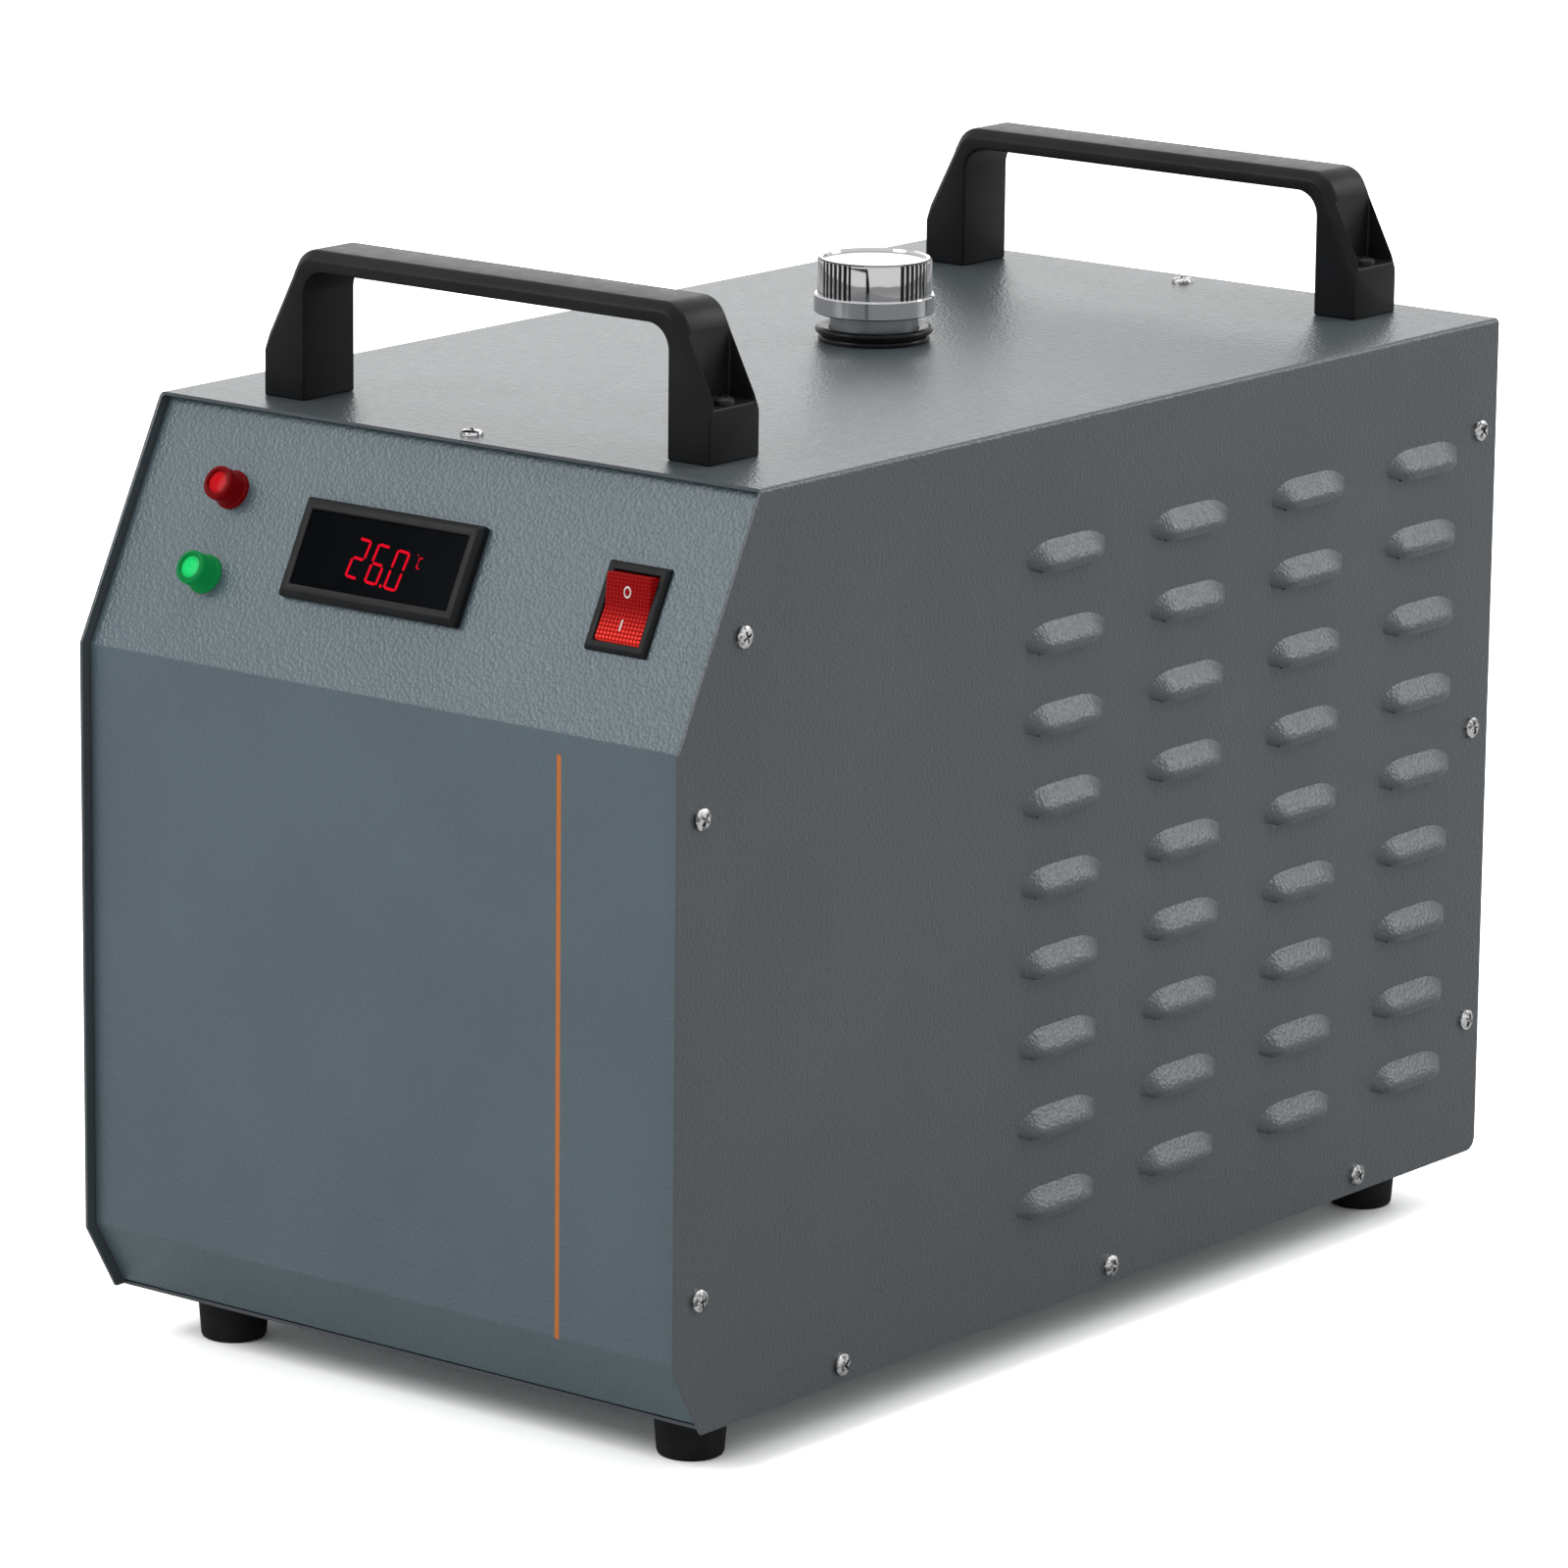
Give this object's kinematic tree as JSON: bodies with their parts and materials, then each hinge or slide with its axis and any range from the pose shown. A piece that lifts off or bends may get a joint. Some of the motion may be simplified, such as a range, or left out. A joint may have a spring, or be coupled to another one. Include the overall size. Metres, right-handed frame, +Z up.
{
  "type": "recirculating chiller",
  "caption": "Bench-top recirculating chiller: louvred sheet-metal box with sloping control panel, carrying handles, screw-capped water filler and rear hose tails.",
  "frame": {"origin": "on the floor under the middle of the whole machine, hose tails included", "axes": "+Z up, +X to the right as seen from the front, +Y from the front panel towards the back panel"},
  "size_m": [0.2798, 0.5054, 0.3936],
  "materials": {
    "powder_coat": "fine textured powder coat",
    "galvanised": "plain zinc-coated sheet",
    "foot_rubber": "matt",
    "hose_rubber": "satin",
    "handle_plastic": "fine moulded grain",
    "black_plastic": "satin",
    "tank_plastic": "natural, satin",
    "red_lens": "gloss, clear red",
    "green_lens": "gloss, clear green",
    "rocker_red": "gloss",
    "display_window": "gloss, dark",
    "circuit_board": "solder mask",
    "plated": "polished",
    "fitting_metal": "turned, plated",
    "radiator_metal": "plain",
    "motor_metal": "satin"
  },
  "bodies": {
    "chassis": {"cover": "powder_coat", "front_panel": "powder_coat", "base_tray": "galvanised", "back_panel": "powder_coat", "feet": "foot_rubber", "handle_front": "handle_plastic", "handle_rear": "handle_plastic", "red_lamp_lens": "red_lens", "green_lamp_lens": "green_lens", "red_lamp_body": "plated", "green_lamp_body": "plated", "display_frame": "black_plastic", "display_window": "display_window", "display_board": "circuit_board", "switch_frame": "black_plastic", "tank": "tank_plastic", "tank_brackets": "galvanised", "temperature_probe": "fitting_metal", "filler_neck": "tank_plastic", "filler_gasket": "foot_rubber", "fan_frame": "black_plastic", "fan_shroud": "galvanised", "radiator": "radiator_metal", "water_tails": "fitting_metal", "drain_fitting": "fitting_metal", "flow_switch": "black_plastic", "suction_hose": "hose_rubber", "return_hose": "hose_rubber", "inlet_hose": "hose_rubber", "radiator_hose": "hose_rubber", "drain_hose": "hose_rubber", "outlet_hose": "hose_rubber", "power_inlet": "black_plastic", "alarm_socket": "fitting_metal", "power_supply": "galvanised", "board_standoffs": "fitting_metal", "control_board": "circuit_board", "pump_motor": "motor_metal", "pump_volute": "black_plastic", "pump_bracket": "galvanised"},
    "rocker": {"switch_rocker": "rocker_red"},
    "cap_seal": {"cap_liner": "foot_rubber"},
    "cap": {"filler_cap": "plated"},
    "drain_seal": {"drain_liner": "foot_rubber"},
    "drain_cap": {"drain_plug": "black_plastic"},
    "fan": {"fan_rotor": "black_plastic"}
  },
  "joints": [
    {"name": "switch_rock", "type": "hinge", "parent": "chassis", "child": "rocker", "pos_m": [0.0932, -0.22757, 0.2962], "axis": [-1, 0, 0], "range_deg": [0, 20]},
    {"name": "cap_lift", "type": "slide", "parent": "chassis", "child": "cap_seal", "axis": [0, 0, 1], "range_m": [0, 0.012]},
    {"name": "cap_turn", "type": "hinge", "parent": "cap_seal", "child": "cap", "pos_m": [-0.0116, 0.0383, 0.3401], "axis": [0, 0, 1], "range_deg": [0, 1440]},
    {"name": "drain_lift", "type": "slide", "parent": "chassis", "child": "drain_seal", "axis": [0, 1, 0], "range_m": [0, 0.008]},
    {"name": "drain_turn", "type": "hinge", "parent": "drain_seal", "child": "drain_cap", "pos_m": [-0.03, 0.2247, 0.0497], "axis": [0, 1, 0], "range_deg": [0, 1440]},
    {"name": "fan_spin", "type": "hinge", "parent": "chassis", "child": "fan", "pos_m": [0, 0.1985, 0.2247], "axis": [0, 1, 0], "continuous": true}
  ],
  "couplings": [
    {"joint": "cap_lift", "follows": "cap_turn", "m_per_rad": 0.00047746},
    {"joint": "drain_lift", "follows": "drain_turn", "m_per_rad": 0.00031831}
  ]
}
